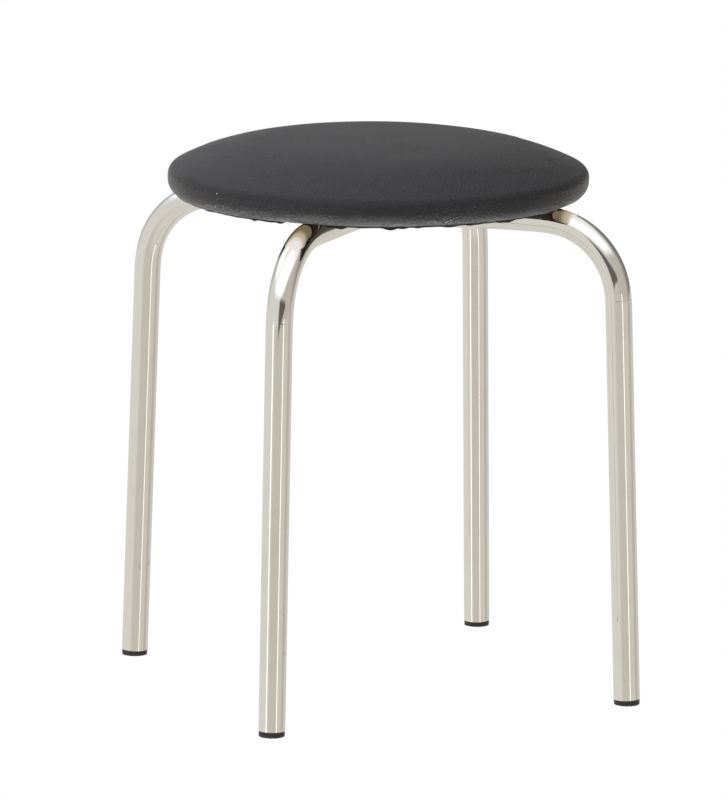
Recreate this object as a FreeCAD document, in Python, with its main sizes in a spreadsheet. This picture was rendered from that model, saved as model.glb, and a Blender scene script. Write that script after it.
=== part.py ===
import FreeCAD, Part
import math
import os
from types import SimpleNamespace

import Sketcher
from FreeCAD import Placement, Rotation, Vector

# Round upholstered stool: two bent steel tubes cross under a padded board.
# The origin is on the floor under the middle of the seat and +Z is up. The
# four feet stand on the diagonals, so the front of the stool is at -Y.

doc = FreeCAD.newDocument("round_stool")

# Driving dimensions, in millimetres and degrees
driving_sizes = [
    ("seat_height", 460, "floor to the top of the crown"),
    ("seat_thickness", 46.7, "seat's underside to the top of the crown"),
    ("seat_diameter", 350, "widest diameter of the padded seat"),
    ("widest_rise", 15.4, "from the seat's underside to its widest line"),
    ("under_roll_radius", 12.7, "lower edge of the seat"),
    ("edge_roll_radius", 9.1, "upper edge of the seat"),
    ("shoulder_radius", 204, "slope between the upper edge and the crown"),
    ("crown_radius", 1600, "nearly flat middle of the seat"),
    ("cover_thickness", 1, "vinyl"),
    ("hem_width", 25, "vinyl stapled under the board, from the board's edge inwards"),
    ("edge_padding", 15, "foam and cover beyond the board's edge"),
    ("board_thickness", 12, "plywood disc"),
    ("foot_overhang", 49, "from the seat's widest line out to the middle of a foot"),
    ("leg_splay", 2, "lean of a leg from the vertical"),
    ("leg_turn", 45, "from +X round to the first leg"),
    ("tube_diameter", 22, "outside of the tube"),
    ("tube_wall", 1.5, "wall of the tube"),
    ("bend_radius", 65, "centreline of the bends"),
    ("press_reach", 112, "from the middle to the start of the pressed stretch"),
    ("press_blend", 24, "length over which round turns to flat"),
    ("screw_offset", 55, "from the end of the flat stretch in to an outer screw"),
    ("screw_diameter", 6, "shank of a screw"),
    ("screw_tip_depth", 2, "from the board's top down to the tip of a screw"),
    ("screw_head_diameter", 12, "button head"),
    ("screw_head_height", 3.4, "button head"),
    ("screw_head_rim", 0.8, "straight rim of the button head"),
    ("screw_tip_bevel", 0.8, "bevel at the end of the shank"),
    ("socket_width", 4, "across the flats of the hexagon socket"),
    ("socket_depth", 2, "hexagon socket"),
    ("washer_diameter", 18, "plain washer"),
    ("washer_thickness", 1.6, "plain washer"),
    ("sleeve_diameter", 12, "spacer between the lower tube and the board"),
    ("nut_barrel_diameter", 9, "insert nut"),
    ("nut_length", 11, "insert nut, flange included"),
    ("nut_flange_diameter", 19, "insert nut"),
    ("nut_flange_thickness", 1.2, "insert nut"),
    ("staples_per_quarter", 9, "between one tube and the next"),
    ("staple_inset", 18, "from the board's edge in to the staples"),
    ("staple_crown", 10, "width of a staple"),
    ("staple_wire", 0.7, "thickness of the wire"),
    ("staple_leg", 6, "length driven up into hem and board"),
    ("plug_height", 4.5, "part of the plug below the tube"),
    ("plug_step", 0.3, "by which the tube stands out past the plug, all round"),
    ("plug_edge_radius", 1.5, "lower edge of the plug"),
    ("plug_insert_length", 18, "part of the plug inside the tube"),
    ("plug_fin_count", 4, "round fins that grip the bore"),
    ("plug_fin_thickness", 1.6, "round fins that grip the bore"),
    ("plug_fin_depth", 1.4, "round fins that grip the bore"),
    ("plug_sole_allowance", 1, "length that the level sole is cut from"),
    ("soft_clearance", 0.3, "beside padding and cover"),
    ("fit_clearance", 0.1, "beside fitted hard pieces"),
    ("cut_overrun", 5, "how far a cutting shape passes a face"),
]

sizes = doc.addObject("Spreadsheet::Sheet", "sizes")
for row, (alias, number, note) in enumerate(driving_sizes, 1):
    sizes.set("A%d" % row, note)
    sizes.set("B%d" % row, str(number))
    sizes.setAlias("B%d" % row, alias)
doc.recompute()


class Size:
    """A length or angle: its value now, and the expression that binds it to the sheet."""

    def __init__(self, text, now):
        self.text = text
        self.now = now

    def __add__(self, other):
        other = as_size(other)
        return Size("(%s + %s)" % (self.text, other.text), self.now + other.now)

    def __sub__(self, other):
        other = as_size(other)
        return Size("(%s - %s)" % (self.text, other.text), self.now - other.now)

    def __mul__(self, other):
        other = as_size(other)
        return Size("(%s * %s)" % (self.text, other.text), self.now * other.now)

    def __truediv__(self, other):
        other = as_size(other)
        return Size("(%s / %s)" % (self.text, other.text), self.now / other.now)

    def __neg__(self):
        return Size("(0 - %s)" % self.text, -self.now)


def as_size(number):
    if isinstance(number, Size):
        return number
    return Size("%r" % number, number)


def sine(angle):
    return Size("sin(%s)" % angle.text, math.sin(math.radians(angle.now)))


def cosine(angle):
    return Size("cos(%s)" % angle.text, math.cos(math.radians(angle.now)))


s = SimpleNamespace()
for alias, number, note in driving_sizes:
    setattr(s, alias, Size("sizes." + alias, float(sizes.get(alias))))

# Levels and reaches that neighbouring pieces share
seat_underside = s.seat_height - s.seat_thickness
frame_height = seat_underside - s.soft_clearance
board_underside = seat_underside + s.cover_thickness
board_top = board_underside + s.board_thickness
board_reach = s.seat_diameter / 2 - s.edge_padding
foot_reach = s.seat_diameter / 2 + s.foot_overhang
tube_axis_level = frame_height - s.tube_diameter / 2
tube_bore = s.tube_diameter - s.tube_wall * 2
pressed_height = s.tube_diameter / 2
screw_hole = s.screw_diameter + s.fit_clearance * 4
flat_reach = s.press_reach - s.press_blend
screw_reach = flat_reach - s.screw_offset
staple_reach = board_reach - s.staple_inset
upper_underside = frame_height - pressed_height
lower_underside = upper_underside - pressed_height
nut_recess = s.nut_flange_thickness + s.fit_clearance * 2
foam_inset = s.cover_thickness + s.soft_clearance

right_angle = 90
leg_names = ["rear_right", "rear_left", "front_left", "front_right"]

# Sketcher's numbers for the points of a curve and for the axes of a sketch
start, end, centre = range(1, 4)
x_axis, y_axis = range(-1, -3, -1)
origin = (x_axis, start)


# Helpers for bodies, sketches and bound constraints

def new_body(label):
    body = doc.addObject("PartDesign::Body", label)
    body.Label = label
    return body


def origin_plane(body, role):
    return [plane for plane in body.Origin.OriginFeatures if plane.Role == role][0]


def new_sketch(body, name, role, offset=None):
    """A sketch on one of the body's origin planes, moved along its normal by offset."""
    sketch = body.newObject("Sketcher::SketchObject", name)
    sketch.AttachmentSupport = [(origin_plane(body, role), "")]
    sketch.MapMode = "FlatFace"
    if offset is not None:
        sketch.setExpression("AttachmentOffset.Base.z", offset.text)
    return sketch


def bind(sketch, kind, references, size):
    """Adds a constraint whose value follows the sheet."""
    now = math.radians(size.now) if kind == "Angle" else size.now
    index = sketch.addConstraint(Sketcher.Constraint(kind, *references, now))
    sketch.setExpression("Constraints[%d]" % index, size.text)


def fix_point(sketch, geometry, position, x, y):
    """Holds a point at x, y from the sketch's origin; a plain 0 holds it on that axis."""
    for kind, axis, size in (("DistanceX", y_axis, x), ("DistanceY", x_axis, y)):
        if not isinstance(size, Size):
            sketch.addConstraint(Sketcher.Constraint("PointOnObject", geometry, position, axis))
        elif size.now < 0:
            bind(sketch, kind, (geometry, position, *origin), -size)
        else:
            bind(sketch, kind, (*origin, geometry, position), size)


def point(x, y):
    return Vector(as_size(x).now, as_size(y).now, 0)


def arc(middle, first, last):
    """Arc of a circle, anticlockwise from first to last."""
    circle = Part.Circle(middle, Vector(0, 0, 1), (first - middle).Length)
    angles = [math.atan2(p.y - middle.y, p.x - middle.x) for p in (first, last)]
    if angles[1] < angles[0]:
        angles[1] += 2 * math.pi
    return Part.ArcOfCircle(circle, *angles)


def draw_circle(sketch, x, y, diameter):
    shape = Part.Circle(point(x, y), Vector(0, 0, 1), diameter.now / 2)
    index = sketch.addGeometry(shape, False)
    fix_point(sketch, index, centre, x, y)
    bind(sketch, "Diameter", (index,), diameter)


def draw_outline(sketch, corners, arcs=None):
    """A closed outline, anticlockwise. A side named in arcs is round: its centre lies
    straight above or below the side's first or last corner, or on the vertical axis."""
    arcs = arcs or {}
    places = [point(x, y) for x, y in corners]
    sides = []
    for side, first in enumerate(places):
        last = places[(side + 1) % len(places)]
        shape = Part.LineSegment(first, last)
        if side in arcs:
            across = {"first": first.x, "last": last.x, "axis": 0}[arcs[side]]
            spread = (last.x - across) ** 2 - (first.x - across) ** 2
            level = (last.y ** 2 - first.y ** 2 + spread) / (2 * (last.y - first.y))
            shape = arc(Vector(across, level, 0), first, last)
        sides.append(sketch.addGeometry(shape, False))
    for side, index in enumerate(sides):
        following = sides[(side + 1) % len(sides)]
        sketch.addConstraint(Sketcher.Constraint("Coincident", index, end, following, start))
        fix_point(sketch, index, start, *corners[side])
    for side, alignment in arcs.items():
        index = sides[side]
        upright = Sketcher.Constraint("PointOnObject", index, centre, y_axis)
        if alignment != "axis":
            corner = start if alignment == "first" else end
            upright = Sketcher.Constraint("Vertical", index, centre, index, corner)
        sketch.addConstraint(upright)


def revolve(body, sketch, kind="PartDesign::Revolution", name="turned"):
    feature = body.newObject(kind, name)
    feature.Profile = sketch
    feature.ReferenceAxis = (sketch, ["V_Axis"])
    feature.Angle = 4 * right_angle
    return feature


def extrude(body, sketch, length, kind="PartDesign::Pad", name="raised", upwards=True):
    """A pad or pocket of a bound length, along the sketch's normal or against it."""
    feature = body.newObject(kind, name)
    feature.Profile = sketch
    feature.Type = "Length"
    feature.setExpression("Length", length.text)
    feature.Reversed = upwards if kind == "PartDesign::Pocket" else not upwards
    return feature


def bind_place(thing, x, y, z, turn=None, lean=None):
    """Binds the placement: turned about Z, after a lean about the thing's own Y."""
    place = [as_size(part).text for part in (x, y, z)]
    angles = [as_size(part or 0).text for part in (turn, lean)]
    base = "create(<<vector>>; %s; %s; %s)" % tuple(place)
    rotation = "create(<<rotation>>; %s; %s; 0)" % tuple(angles)
    thing.setExpression("Placement", "create(<<placement>>; %s; %s)" % (base, rotation))


def leg_angle(leg):
    return s.leg_turn + right_angle * leg


# Frame tubes: round legs and bends, pressed flat where the two cross

def draw_leg_path(sketch):
    """Centreline of one side: up the leg, round the bend and in to the pressed stretch."""
    foot_x = foot_reach - s.plug_height * sine(s.leg_splay)
    foot_y = s.plug_height * cosine(s.leg_splay)
    radius = s.bend_radius.now
    lean = math.radians(s.leg_splay.now)
    middle_y = tube_axis_level.now - radius
    middle_x = foot_reach.now - middle_y * math.tan(lean) - radius / math.cos(lean)
    middle = Vector(middle_x, middle_y, 0)
    bend_start = middle + Vector(math.cos(lean), math.sin(lean), 0) * radius
    bend_end = middle + Vector(0, 1, 0) * radius
    run_end = point(s.press_reach, tube_axis_level)
    leg = sketch.addGeometry(Part.LineSegment(point(foot_x, foot_y), bend_start), False)
    bend = sketch.addGeometry(arc(middle, bend_start, bend_end), False)
    run = sketch.addGeometry(Part.LineSegment(bend_end, run_end), False)
    sketch.addConstraint(Sketcher.Constraint("Tangent", leg, end, bend, start))
    sketch.addConstraint(Sketcher.Constraint("Tangent", bend, end, run, start))
    sketch.addConstraint(Sketcher.Constraint("Horizontal", run))
    fix_point(sketch, leg, start, foot_x, foot_y)
    fix_point(sketch, run, end, s.press_reach, tube_axis_level)
    bind(sketch, "Radius", (bend,), s.bend_radius)
    bind(sketch, "Angle", (leg,), s.leg_splay + right_angle)


def draw_quartered_circle(sketch, diameter, level):
    """A circle in four arcs, to pair with the four sides of the pressed section."""
    middle = point(0, level)
    corner = diameter / 2 / as_size(2 ** 0.5)
    places = []
    for across, up in ((1, 1), (-1, 1), (-1, -1), (1, -1)):
        places.append(middle + Vector(across, up, 0) * corner.now)
    arcs = []
    for quarter in range(4):
        shape = arc(middle, places[quarter], places[(quarter + 1) % 4])
        arcs.append(sketch.addGeometry(shape, False))
    top, left, bottom, right = arcs
    for first, second in ((top, left), (left, bottom), (bottom, right), (right, top)):
        sketch.addConstraint(Sketcher.Constraint("Coincident", first, end, second, start))
    sketch.addConstraint(Sketcher.Constraint("Coincident", left, centre, top, centre))
    sketch.addConstraint(Sketcher.Constraint("Coincident", bottom, centre, top, centre))
    sketch.addConstraint(Sketcher.Constraint("PointOnObject", right, centre, y_axis))
    fix_point(sketch, top, centre, 0, level)
    bind(sketch, "Radius", (top,), diameter / 2)
    sketch.addConstraint(Sketcher.Constraint("Horizontal", top, start, top, end))
    sketch.addConstraint(Sketcher.Constraint("Horizontal", bottom, start, bottom, end))
    sketch.addConstraint(Sketcher.Constraint("Vertical", top, start, bottom, end))
    bind(sketch, "DistanceX", (*origin, top, start), corner)


def draw_pressed_section(sketch, height, flat, level):
    """A slot shape: flat above and below, round at the sides."""
    radius = height / 2
    left_x, right_x = -flat.now / 2, flat.now / 2
    middle_y, lift = level.now, radius.now
    corners = {}
    for name, x, y in (("top_left", left_x, lift), ("top_right", right_x, lift),
                       ("low_left", left_x, -lift), ("low_right", right_x, -lift)):
        corners[name] = Vector(x, middle_y + y, 0)
    left_middle, right_middle = Vector(left_x, middle_y, 0), Vector(right_x, middle_y, 0)
    shapes = [
        Part.LineSegment(corners["top_right"], corners["top_left"]),
        arc(left_middle, corners["top_left"], corners["low_left"]),
        Part.LineSegment(corners["low_left"], corners["low_right"]),
        arc(right_middle, corners["low_right"], corners["top_right"]),
    ]
    top, left, bottom, right = [sketch.addGeometry(shape, False) for shape in shapes]
    for first, second in ((top, left), (left, bottom), (bottom, right), (right, top)):
        sketch.addConstraint(Sketcher.Constraint("Tangent", first, end, second, start))
    sketch.addConstraint(Sketcher.Constraint("Equal", left, right))
    symmetry = Sketcher.Constraint("Symmetric", left, centre, right, centre, y_axis)
    sketch.addConstraint(symmetry)
    bind(sketch, "DistanceY", (*origin, left, centre), level)
    bind(sketch, "Radius", (left,), radius)
    bind(sketch, "DistanceX", (left, centre, right, centre), flat)


def make_frame_tube(label, pressed_level, turn):
    """A whole inverted U. Pressing keeps the girth, so the flat part is also wider."""
    body = new_body(label)
    flat = (s.tube_diameter - pressed_height) * as_size(round(math.pi, 6)) / 2
    path = new_sketch(body, label + "_path", "XZ_Plane")
    draw_leg_path(path)
    round_section = new_sketch(body, label + "_round", "YZ_Plane", s.press_reach)
    draw_quartered_circle(round_section, s.tube_diameter, tube_axis_level)
    draw_quartered_circle(round_section, tube_bore, tube_axis_level)
    flat_section = new_sketch(body, label + "_pressed", "YZ_Plane", flat_reach)
    draw_pressed_section(flat_section, pressed_height, flat, pressed_level)
    inner_height = pressed_height - s.tube_wall * 2
    draw_pressed_section(flat_section, inner_height, flat, pressed_level)
    doc.recompute()
    leg = body.newObject("PartDesign::AdditivePipe", label + "_leg")
    leg.Profile = round_section
    leg.Spine = (path, ["Edge1", "Edge2", "Edge3"])
    blend = body.newObject("PartDesign::AdditiveLoft", label + "_blend")
    blend.Profile = round_section
    blend.Sections = [flat_section]
    blend.Ruled = True
    middle = extrude(body, flat_section, flat_reach, name=label + "_flat", upwards=False)
    other_half = body.newObject("PartDesign::Mirrored", label + "_other_half")
    other_half.Originals = [leg, blend, middle]
    other_half.MirrorPlane = (origin_plane(body, "YZ_Plane"), [""])
    body.Tip = other_half
    doc.recompute()
    holes = new_sketch(body, label + "_screw_holes", "XY_Plane")
    for x in (-screw_reach, 0, screw_reach):
        draw_circle(holes, x, 0, screw_hole)
    doc.recompute()
    drilled = frame_height + s.cut_overrun
    drilling = extrude(body, holes, drilled, "PartDesign::Pocket", label + "_drilling")
    body.Tip = drilling
    bind_place(body, 0, 0, 0, turn)
    return body


upper_middle = upper_underside + pressed_height / 2
lower_middle = lower_underside + pressed_height / 2
upper_tube = make_frame_tube("upper_frame_tube", upper_middle, s.leg_turn)
lower_tube = make_frame_tube("lower_frame_tube", lower_middle, s.leg_turn + right_angle)


# Foot plugs: a sole under the tube and an insert with round fins in its bore

def make_foot_plug(label, leg):
    body = new_body(label)
    profile = new_sketch(body, label + "_profile", "XZ_Plane")
    radius = s.tube_diameter / 2 - s.plug_step
    fin = tube_bore / 2 - s.fit_clearance
    core = fin - s.plug_fin_depth
    top = s.plug_height + s.plug_insert_length
    low = -s.plug_sole_allowance
    round_start = radius - s.plug_edge_radius
    corners = [(0, low), (round_start, low), (radius, low + s.plug_edge_radius),
               (radius, s.plug_height), (core, s.plug_height)]
    pitch = s.plug_insert_length / s.plug_fin_count
    for index in range(int(s.plug_fin_count.now)):
        fin_top = s.plug_height + pitch * (index + 1)
        fin_foot = fin_top - s.plug_fin_thickness
        corners += [(core, fin_foot), (fin, fin_foot), (fin, fin_top)]
        if index < s.plug_fin_count.now - 1:
            corners.append((core, fin_top))
    corners.append((0, top))
    draw_outline(profile, corners, {1: "first"})
    doc.recompute()
    revolve(body, profile, name=label + "_turned")
    doc.recompute()
    sole = new_sketch(body, label + "_sole", "XZ_Plane")
    reach = s.tube_diameter
    rise = reach * sine(s.leg_splay) / cosine(s.leg_splay)
    depth = s.plug_sole_allowance + s.cut_overrun
    draw_outline(sole, [(-reach, -depth), (reach, -depth), (reach, -rise), (-reach, rise)])
    doc.recompute()
    trim = extrude(body, sole, reach * 2, "PartDesign::Pocket", label + "_trim")
    trim.SideType = "Symmetric"
    body.Tip = trim
    angle = leg_angle(leg)
    x, y = foot_reach * cosine(angle), foot_reach * sine(angle)
    bind_place(body, x, y, 0, angle, -s.leg_splay)
    return body


foot_plugs = []
for leg, name in enumerate(leg_names):
    foot_plugs.append(make_foot_plug("foot_plug_" + name, leg))


# Screws, washers and insert nuts: one set in each arm and one in the middle

def make_screw(label, length):
    """Button head below the origin, shank above it."""
    body = new_body(label)
    profile = new_sketch(body, label + "_profile", "XZ_Plane")
    head = s.screw_head_diameter / 2
    shank = s.screw_diameter / 2
    bevel = s.screw_tip_bevel
    corners = [(0, -s.screw_head_height), (head, -s.screw_head_rim), (head, 0), (shank, 0),
               (shank, length - bevel), (shank - bevel, length), (0, length)]
    draw_outline(profile, corners, {0: "axis"})
    doc.recompute()
    revolve(body, profile, name=label + "_turned")
    doc.recompute()
    socket = new_sketch(body, label + "_socket", "XY_Plane", -s.screw_head_height)
    corner = s.socket_width / as_size(3 ** 0.5)
    half = corner / 2
    flat = s.socket_width / 2
    corners = [(corner, 0), (half, flat), (-half, flat), (-corner, 0), (-half, -flat), (half, -flat)]
    draw_outline(socket, corners)
    doc.recompute()
    body.Tip = extrude(body, socket, s.socket_depth, "PartDesign::Pocket", label + "_hexagon")
    return body


def make_ring(label, diameter, height):
    """A washer or a sleeve round a screw."""
    body = new_body(label)
    ring = new_sketch(body, label + "_ring", "XY_Plane")
    draw_circle(ring, 0, 0, diameter)
    draw_circle(ring, 0, 0, screw_hole)
    doc.recompute()
    extrude(body, ring, height, name=label + "_plate")
    return body


def make_insert_nut(label):
    """Flange on top, barrel down into the board, bore for the screw."""
    body = new_body(label)
    profile = new_sketch(body, label + "_profile", "XZ_Plane")
    bore = s.screw_diameter / 2 + s.fit_clearance
    barrel = s.nut_barrel_diameter / 2
    flange = s.nut_flange_diameter / 2
    under = -s.nut_flange_thickness
    corners = [(bore, -s.nut_length), (barrel, -s.nut_length), (barrel, under),
               (flange, under), (flange, 0), (bore, 0)]
    draw_outline(profile, corners)
    doc.recompute()
    revolve(body, profile, name=label + "_turned")
    return body


nut_level = board_top - s.fit_clearance
fastener_places = {"centre": (as_size(0), as_size(0), as_size(0), lower_underside)}
for leg, name in enumerate(leg_names):
    angle = leg_angle(leg)
    underside = lower_underside if leg % 2 else upper_underside
    fastener_places[name] = (screw_reach * cosine(angle), screw_reach * sine(angle), angle, underside)

fasteners = []
for name, (x, y, angle, underside) in fastener_places.items():
    washer_level = underside - s.washer_thickness - s.fit_clearance
    screw = make_screw("seat_screw_" + name, board_top - s.screw_tip_depth - washer_level)
    bind_place(screw, x, y, washer_level, angle)
    washer = make_ring("seat_washer_" + name, s.washer_diameter, s.washer_thickness)
    bind_place(washer, x, y, washer_level, angle)
    nut = make_insert_nut("insert_nut_" + name)
    bind_place(nut, x, y, nut_level, angle)
    fasteners += [screw, washer, nut]

# The lower tube lies a step below the board, so a sleeve fills the step at its two screws
sleeve_level = upper_underside + s.fit_clearance
sleeve_height = board_underside - s.fit_clearance - sleeve_level
for name in leg_names[1::2]:
    x, y, angle, _ = fastener_places[name]
    sleeve = make_ring("spacer_sleeve_" + name, s.sleeve_diameter, sleeve_height)
    bind_place(sleeve, x, y, sleeve_level, angle)
    fasteners.append(sleeve)


# Seat: board below, padding over it, cover round both

def draw_seat_outline(sketch, inset):
    """Half section of the seat, all its faces moved in by inset."""
    side_x = s.seat_diameter / 2 - inset
    bottom = seat_underside + inset
    widest = seat_underside + s.widest_rise
    top = s.seat_height - inset
    under = s.under_roll_radius - inset
    edge = s.edge_roll_radius - inset
    shoulder = s.shoulder_radius - inset
    crown = s.crown_radius - inset
    edge_middle = point(side_x - edge, widest)
    crown_middle = point(0, top - crown)
    apart = edge_middle - crown_middle
    gap = apart.Length
    to_crown = crown.now - shoulder.now
    to_edge = shoulder.now - edge.now
    along = (to_crown ** 2 - to_edge ** 2 + gap ** 2) / (2 * gap)
    aside = math.sqrt(to_crown ** 2 - along ** 2)
    ahead = apart / gap
    shoulder_middle = crown_middle + ahead * along + Vector(-ahead.y, ahead.x, 0) * aside
    edge_ray = (edge_middle - shoulder_middle).normalize()
    crown_ray = (shoulder_middle - crown_middle).normalize()
    edge_end = shoulder_middle + edge_ray * shoulder.now
    crown_start = crown_middle + crown_ray * crown.now
    under_start = point(side_x - under, bottom)
    under_end = point(side_x, bottom + under)
    side_top = point(side_x, widest)
    shapes = [
        Part.LineSegment(point(0, bottom), under_start),
        arc(point(side_x - under, bottom + under), under_start, under_end),
        Part.LineSegment(under_end, side_top),
        arc(edge_middle, side_top, edge_end),
        arc(shoulder_middle, edge_end, crown_start),
        arc(crown_middle, crown_start, point(0, top)),
        Part.LineSegment(point(0, top), point(0, bottom)),
    ]
    parts = [sketch.addGeometry(shape, False) for shape in shapes]
    floor, under_arc, side, edge_arc, shoulder_arc, crown_arc, axis = parts
    for first, second in zip(parts[:5], parts[1:6]):
        sketch.addConstraint(Sketcher.Constraint("Tangent", first, end, second, start))
    sketch.addConstraint(Sketcher.Constraint("Coincident", crown_arc, end, axis, start))
    sketch.addConstraint(Sketcher.Constraint("Coincident", axis, end, floor, start))
    sketch.addConstraint(Sketcher.Constraint("Horizontal", floor))
    sketch.addConstraint(Sketcher.Constraint("Vertical", side))
    sketch.addConstraint(Sketcher.Constraint("PointOnObject", crown_arc, centre, y_axis))
    fix_point(sketch, floor, start, 0, bottom)
    fix_point(sketch, side, end, side_x, widest)
    fix_point(sketch, axis, start, 0, top)
    for index, radius in ((under_arc, under), (edge_arc, edge), (shoulder_arc, shoulder),
                          (crown_arc, crown)):
        bind(sketch, "Radius", (index,), radius)


staple_count = s.staples_per_quarter * 4


def cut_staple_slots(body, level, depth):
    """Slots for the legs of every staple, upwards from level."""
    name = body.Label + "_staple_slots"
    slots = new_sketch(body, name, "XY_Plane", level)
    half_step = as_size(2 * right_angle) / staple_count
    slots.setExpression("AttachmentOffset.Rotation.Angle", half_step.text)
    reach = staple_reach
    half_slot = s.staple_wire / 2 + s.fit_clearance
    leg_middle = s.staple_crown / 2 - s.staple_wire / 2
    for middle in (leg_middle, -leg_middle):
        low, high = middle - half_slot, middle + half_slot
        near, far = reach - half_slot, reach + half_slot
        draw_outline(slots, [(near, low), (far, low), (far, high), (near, high)])
    doc.recompute()
    cut = extrude(body, slots, depth, "PartDesign::Pocket", name + "_cut")
    doc.recompute()
    ring = body.newObject("PartDesign::PolarPattern", name + "_ring")
    ring.Originals = [cut]
    upright = [axis for axis in body.Origin.OriginFeatures if axis.Role == "Z_Axis"][0]
    ring.Axis = (upright, [""])
    ring.Angle = 4 * right_angle
    ring.setExpression("Occurrences", staple_count.text)
    body.Tip = ring
    doc.recompute()


def make_seat_board():
    """The board is turned with the legs, so its own X and Y run along the tubes."""
    body = new_body("seat_board")
    disc = new_sketch(body, "board_disc", "XY_Plane", board_underside)
    draw_circle(disc, 0, 0, board_reach * 2)
    doc.recompute()
    extrude(body, disc, s.board_thickness, name="board_plate")
    places = [(0, 0), (screw_reach, 0), (-screw_reach, 0), (0, screw_reach), (0, -screw_reach)]
    below = board_underside - s.cut_overrun
    barrels = new_sketch(body, "barrel_holes", "XY_Plane", below)
    recesses = new_sketch(body, "flange_recesses", "XY_Plane", board_top)
    for x, y in places:
        draw_circle(barrels, x, y, s.nut_barrel_diameter + s.fit_clearance * 2)
        draw_circle(recesses, x, y, s.nut_flange_diameter + s.fit_clearance * 2)
    doc.recompute()
    through = s.board_thickness + s.cut_overrun * 2
    extrude(body, barrels, through, "PartDesign::Pocket", "barrel_drilling")
    extrude(body, recesses, nut_recess, "PartDesign::Pocket", "flange_milling", upwards=False)
    doc.recompute()
    slot_depth = s.cut_overrun + s.staple_leg - s.cover_thickness + s.fit_clearance
    cut_staple_slots(body, below, slot_depth)
    bind_place(body, 0, 0, 0, s.leg_turn)
    return body


def make_foam_pad():
    """Crowned foam over the board, with a skirt round the board's edge."""
    body = new_body("foam_pad")
    outline = new_sketch(body, "foam_outline", "XZ_Plane")
    draw_seat_outline(outline, foam_inset)
    doc.recompute()
    revolve(body, outline, name="foam_form")
    room = new_sketch(body, "board_room", "XY_Plane", seat_underside)
    draw_circle(room, 0, 0, (board_reach + s.soft_clearance) * 2)
    doc.recompute()
    depth = s.cover_thickness + s.board_thickness + s.soft_clearance
    body.Tip = extrude(body, room, depth, "PartDesign::Pocket", "board_hollow")
    return body


def make_seat_cover():
    """Vinyl over crown and sides, with its hem folded flat under the board."""
    body = new_body("seat_cover")
    outside = new_sketch(body, "cover_outside", "XZ_Plane")
    draw_seat_outline(outside, as_size(0))
    inside = new_sketch(body, "cover_inside", "XZ_Plane")
    draw_seat_outline(inside, s.cover_thickness)
    doc.recompute()
    revolve(body, outside, name="cover_form")
    doc.recompute()
    revolve(body, inside, "PartDesign::Groove", "cover_hollow")
    doc.recompute()
    below = seat_underside - s.cut_overrun
    opening = new_sketch(body, "hem_opening", "XY_Plane", below)
    draw_circle(opening, 0, 0, (board_reach - s.hem_width) * 2)
    doc.recompute()
    through = s.cover_thickness + s.cut_overrun * 2
    extrude(body, opening, through, "PartDesign::Pocket", "hem_edge")
    doc.recompute()
    cut_staple_slots(body, below, through)
    bind_place(body, 0, 0, 0, s.leg_turn)
    return body


def make_staples():
    """All the staples of the hem, as separate solids in one group."""
    wire = s.staple_wire.now
    crown = s.staple_crown.now
    reach = staple_reach.now
    level = seat_underside.now
    bar = Part.makeBox(wire, crown, wire, Vector(reach - wire / 2, -crown / 2, level - wire))
    legs = []
    for low in (-crown / 2, crown / 2 - wire):
        corner = Vector(reach - wire / 2, low, level)
        legs.append(Part.makeBox(wire, wire, s.staple_leg.now, corner))
    staple = bar.fuse(legs).removeSplitter()
    step = 4 * right_angle / staple_count.now
    copies = []
    for index in range(int(round(staple_count.now))):
        copy = staple.copy()
        copy.rotate(Vector(0, 0, 0), Vector(0, 0, 1), s.leg_turn.now + step * (index + 0.5))
        copies.append(copy)
    group = doc.addObject("Part::Feature", "hem_staples")
    group.Label = "hem_staples"
    group.Shape = Part.makeCompound(copies)
    group.Placement = Placement(Vector(0, 0, 0), Rotation())
    return group


nodes = [make_seat_cover(), make_foam_pad(), make_seat_board(), make_staples(),
         upper_tube, lower_tube, *foot_plugs, *fasteners]

doc.recompute()

# Every feature has to be sound before anything is written
for thing in doc.Objects:
    if "Invalid" in thing.State or "Error" in thing.State:
        raise ValueError("%s failed: %s" % (thing.Label, thing.State))
for node in nodes:
    if node.Shape.isNull() or not node.Shape.isValid():
        raise ValueError("%s has no sound shape" % node.Label)

os.makedirs("parts", exist_ok=True)
for node in nodes:
    node.Shape.exportStep("parts/%s.step" % node.Label)
    print(node.Label, len(node.Shape.Solids), round(node.Shape.Volume, 1))
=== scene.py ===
import bpy
import random
import numpy as np
from math import atan2, cos, hypot, pi, radians, sin, sqrt, tan, tanh
from mathutils import Matrix, Vector, noise
from mathutils.bvhtree import BVHTree


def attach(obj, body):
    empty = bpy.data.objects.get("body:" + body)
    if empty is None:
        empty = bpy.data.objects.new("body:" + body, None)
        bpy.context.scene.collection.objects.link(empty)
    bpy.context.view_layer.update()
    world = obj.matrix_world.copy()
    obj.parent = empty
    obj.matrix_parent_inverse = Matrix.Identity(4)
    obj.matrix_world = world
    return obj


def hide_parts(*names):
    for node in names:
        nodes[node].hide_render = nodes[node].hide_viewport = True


# Round stool: black vinyl seat on two crossed chrome tubes, on a white studio floor.

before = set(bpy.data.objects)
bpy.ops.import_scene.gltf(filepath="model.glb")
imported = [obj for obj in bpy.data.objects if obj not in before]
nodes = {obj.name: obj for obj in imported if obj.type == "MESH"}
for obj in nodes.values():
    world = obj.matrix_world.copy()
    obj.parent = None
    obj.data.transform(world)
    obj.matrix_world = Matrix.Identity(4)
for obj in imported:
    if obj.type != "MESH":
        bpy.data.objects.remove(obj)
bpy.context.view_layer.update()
scene = bpy.context.scene
print("frame loaded:", len(nodes), "nodes")


# Small helpers for node trees and meshes

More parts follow.
